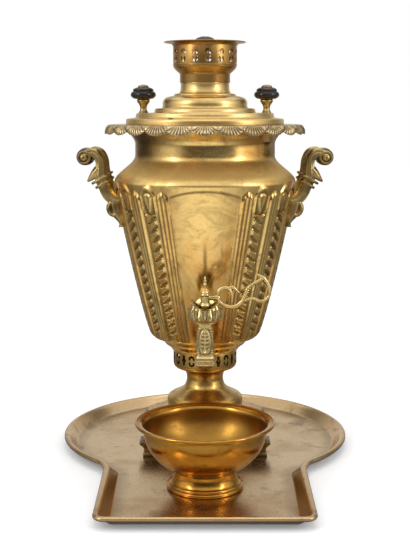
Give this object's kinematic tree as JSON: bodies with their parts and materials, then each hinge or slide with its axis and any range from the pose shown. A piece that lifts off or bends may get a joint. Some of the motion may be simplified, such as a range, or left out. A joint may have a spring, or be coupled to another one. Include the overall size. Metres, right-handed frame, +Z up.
{
  "type": "samovar",
  "caption": "Charcoal samovar: embossed brass urn over a fire tube with tap, side handles, lid, crown and damper, on a keyhole tray with a drip bowl.",
  "frame": {"origin": "on the tray's underside, below the samovar's axis", "axes": "+Z up along the samovar's axis, -Y towards the tap and the drip bowl, +X to the right when facing the tap"},
  "size_m": [0.343, 0.4645, 0.4855],
  "materials": {
    "tray_bronze": "satin, dull bronze brown with fine scratches",
    "polished_brass": "polished, reflective",
    "base_brass": "polished, lightly tarnished",
    "cast_feet": "cast, darkened in the recesses",
    "wall_brass": "polished, with orange and brown tarnish",
    "soot_iron": "matte, sooty",
    "skirt_metal": "worn, silvery, dark in the flutes",
    "cast_brass": "cast, greenish brown patina",
    "dark_wood": "turned, dark lacquer",
    "tap_brass": "cast, worn, verdigris in the recesses",
    "lid_brass": "polished, bright yellow",
    "crown_brass": "satin, orange brown tarnish"
  },
  "bodies": {
    "tray": {"tray": "tray_bronze"},
    "drip_bowl": {"drip_bowl": "polished_brass", "drip_bowl_foot": "polished_brass"},
    "samovar": {"base_feet": "cast_feet", "base_plinth": "base_brass", "pedestal": "base_brass", "air_collar": "base_brass", "ash_grate": "soot_iron", "vessel_floor": "base_brass", "vessel_wall": "wall_brass", "fire_tube": "soot_iron", "rim_skirt": "skirt_metal", "handle_brackets_left": "cast_brass", "handle_brackets_right": "cast_brass", "handle_grip_left": "dark_wood", "handle_grip_right": "dark_wood", "handle_spindle_left": "cast_brass", "handle_spindle_right": "cast_brass", "tap_washer": "tap_brass", "tap_body": "tap_brass", "tap_back_nut": "tap_brass", "tap_spout": "tap_brass"},
    "tap": {"tap_plug": "tap_brass", "tap_key": "tap_brass", "tap_finial": "tap_brass"},
    "lid": {"lid": "lid_brass", "lid_sleeve": "lid_brass", "steam_vent": "lid_brass", "knob_stem_left": "lid_brass", "knob_stem_right": "lid_brass", "knob_left": "dark_wood", "knob_right": "dark_wood", "knob_cap_left": "lid_brass", "knob_cap_right": "lid_brass", "knob_nuts": "lid_brass"},
    "crown": {"crown_drum": "crown_brass", "crown_flange": "crown_brass"},
    "damper": {"damper_cap": "soot_iron", "damper_stem": "lid_brass", "damper_knob": "dark_wood"}
  },
  "joints": [
    {"name": "drip_bowl_lift", "type": "slide", "parent": "tray", "child": "drip_bowl", "axis": [0, -0.7071, 0.7071], "range_m": [0, 0.15]},
    {"name": "samovar_lift", "type": "slide", "parent": "tray", "child": "samovar", "axis": [0, 0, 1], "range_m": [0, 0.06]},
    {"name": "tap_turn", "type": "hinge", "parent": "samovar", "child": "tap", "pos_m": [0, -0.12, 0.18], "axis": [0, 0, 1], "range_deg": [-180, 0]},
    {"name": "lid_lift", "type": "slide", "parent": "samovar", "child": "lid", "axis": [0, 0, 1], "range_m": [0, 0.1]},
    {"name": "crown_lift", "type": "slide", "parent": "lid", "child": "crown", "axis": [0, 0, 1], "range_m": [0, 0.04]},
    {"name": "damper_lift", "type": "slide", "parent": "crown", "child": "damper", "axis": [0, 0, 1], "range_m": [0, 0.06]}
  ]
}
